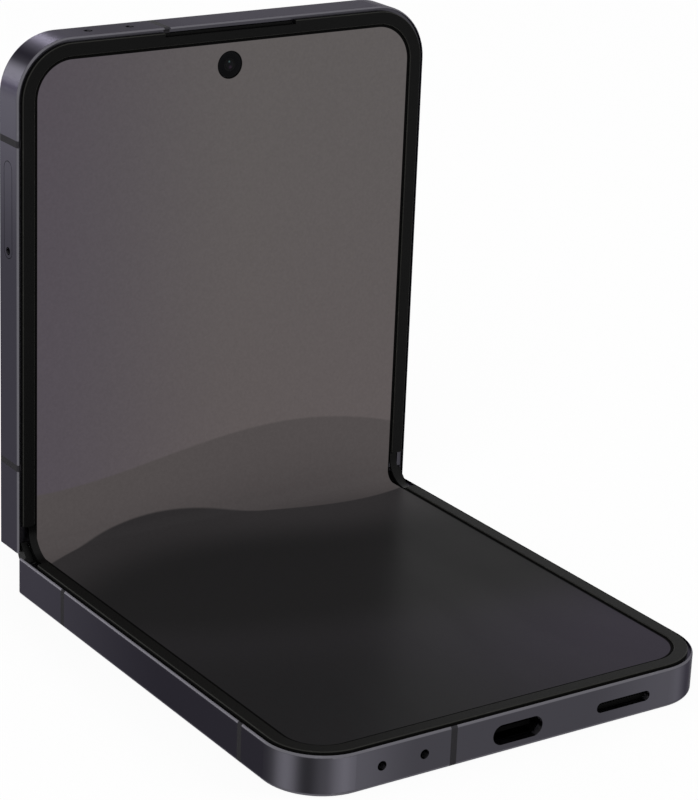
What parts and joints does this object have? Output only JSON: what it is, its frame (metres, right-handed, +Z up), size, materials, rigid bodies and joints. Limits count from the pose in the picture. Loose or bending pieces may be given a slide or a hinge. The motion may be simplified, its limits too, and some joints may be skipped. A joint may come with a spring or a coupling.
{
  "type": "foldable smartphone",
  "caption": "Flip-type folding smartphone standing half open, with geared fold, bending screen, card tray and side keys.",
  "frame": {"origin": "centre of the lower half's outer face, on the surface it rests on", "axes": "+X across the phone to the side with the keys, -Y towards the charging port, +Y towards the fold, +Z up along the standing upper half"},
  "size_m": [0.0754, 0.0914, 0.0903],
  "materials": {
    "frame_metal": "satin",
    "band_plastic": "matte",
    "back_glass": "frosted",
    "cover_glass": "gloss",
    "screen": "gloss",
    "rim_plastic": "satin",
    "border_plastic": "gloss",
    "steel": "brushed",
    "hinge_steel": "ground",
    "spine_metal": "gloss",
    "cap_plastic": "matte",
    "battery": "matte",
    "board": "satin",
    "black_plastic": "matte",
    "gold": "satin",
    "copper": "satin",
    "flex": "satin",
    "lens_glass": "gloss",
    "flash_plastic": "gloss"
  },
  "bodies": {
    "lower_half": {"lower_frame": "frame_metal", "lower_back_cover": "back_glass", "lower_rim": "rim_plastic", "lower_antenna_bands": "band_plastic", "lower_display": "screen", "lower_support_plate": "steel", "lower_wing_plate": "steel", "lower_rotators": "hinge_steel", "lower_battery": "battery", "sub_board": "board", "usb_shell": "steel", "usb_tongue": "black_plastic", "loudspeaker": "black_plastic", "speaker_mesh": "black_plastic", "microphones": "gold", "vibration_motor": "steel", "charging_coil": "copper", "lower_screws": "steel"},
    "spine": {"spine_cover": "spine_metal", "spine_end_caps": "cap_plastic", "hinge_brackets": "hinge_steel", "disc_springs": "steel", "display_fold": "screen", "fold_borders": "border_plastic", "flex_cables": "flex"},
    "lower_arm_set": {"lower_sync_arms": "hinge_steel", "lower_hinge_shafts": "steel"},
    "lower_idler_set": {"lower_idlers": "hinge_steel"},
    "upper_arm_set": {"upper_sync_arms": "hinge_steel", "upper_hinge_shafts": "steel"},
    "upper_idler_set": {"upper_idlers": "hinge_steel"},
    "upper_half": {"upper_frame": "frame_metal", "cover_glass": "cover_glass", "cover_display": "black_plastic", "upper_rim": "rim_plastic", "upper_antenna_bands": "band_plastic", "upper_display": "screen", "upper_support_plate": "steel", "upper_wing_plate": "steel", "upper_rotators": "hinge_steel", "upper_battery": "battery", "main_board": "board", "board_shields": "steel", "earpiece": "black_plastic", "earpiece_mesh": "black_plastic", "front_camera": "lens_glass", "main_camera": "black_plastic", "wide_camera": "black_plastic", "camera_rings": "frame_metal", "camera_windows": "lens_glass", "flash_lens": "flash_plastic", "card_reader": "steel", "key_switches": "gold", "top_microphones": "gold", "upper_screws": "steel"},
    "tray": {"card_tray": "frame_metal"},
    "volume": {"volume_key": "frame_metal"},
    "power": {"power_key": "frame_metal"}
  },
  "joints": [
    {"name": "fold", "type": "hinge", "parent": "lower_half", "child": "upper_half", "pos_m": [0, 0.0417, 0.0069], "axis": [1, 0, 0], "range_deg": [-90, 90], "deforming": ["display_fold", "fold_borders", "flex_cables"]},
    {"name": "spine_turn", "type": "hinge", "parent": "lower_half", "child": "spine", "pos_m": [0, 0.0417, 0.0069], "axis": [1, 0, 0], "range_deg": [-45, 45], "deforming": ["display_fold", "fold_borders", "flex_cables"]},
    {"name": "lower_arm_turn", "type": "hinge", "parent": "spine", "child": "lower_arm_set", "pos_m": [0, 0.04186, 0.00365], "axis": [1, 0, 0], "range_deg": [-45, 45]},
    {"name": "lower_idler_turn", "type": "hinge", "parent": "spine", "child": "lower_idler_set", "pos_m": [0, 0.04289, 0.00468], "axis": [1, 0, 0], "range_deg": [-45, 45]},
    {"name": "upper_idler_turn", "type": "hinge", "parent": "spine", "child": "upper_idler_set", "pos_m": [0, 0.04392, 0.00571], "axis": [1, 0, 0], "range_deg": [-45, 45]},
    {"name": "upper_arm_turn", "type": "hinge", "parent": "spine", "child": "upper_arm_set", "pos_m": [0, 0.04495, 0.00674], "axis": [1, 0, 0], "range_deg": [-45, 45]},
    {"name": "tray_slide", "type": "slide", "parent": "upper_half", "child": "tray", "axis": [-1, 0, 0], "range_m": [0, 0.019]},
    {"name": "volume_press", "type": "slide", "parent": "upper_half", "child": "volume", "axis": [-1, 0, 0], "range_m": [0, 0.0003], "stiffness_N_per_m": 4000},
    {"name": "power_press", "type": "slide", "parent": "upper_half", "child": "power", "axis": [-1, 0, 0], "range_m": [0, 0.0003], "stiffness_N_per_m": 4000}
  ],
  "couplings": [
    {"joint": "spine_turn", "follows": "fold", "ratio": 0.5},
    {"joint": "lower_arm_turn", "follows": "fold", "ratio": -0.5},
    {"joint": "lower_idler_turn", "follows": "fold", "ratio": 0.5},
    {"joint": "upper_idler_turn", "follows": "fold", "ratio": -0.5},
    {"joint": "upper_arm_turn", "follows": "fold", "ratio": 0.5}
  ]
}
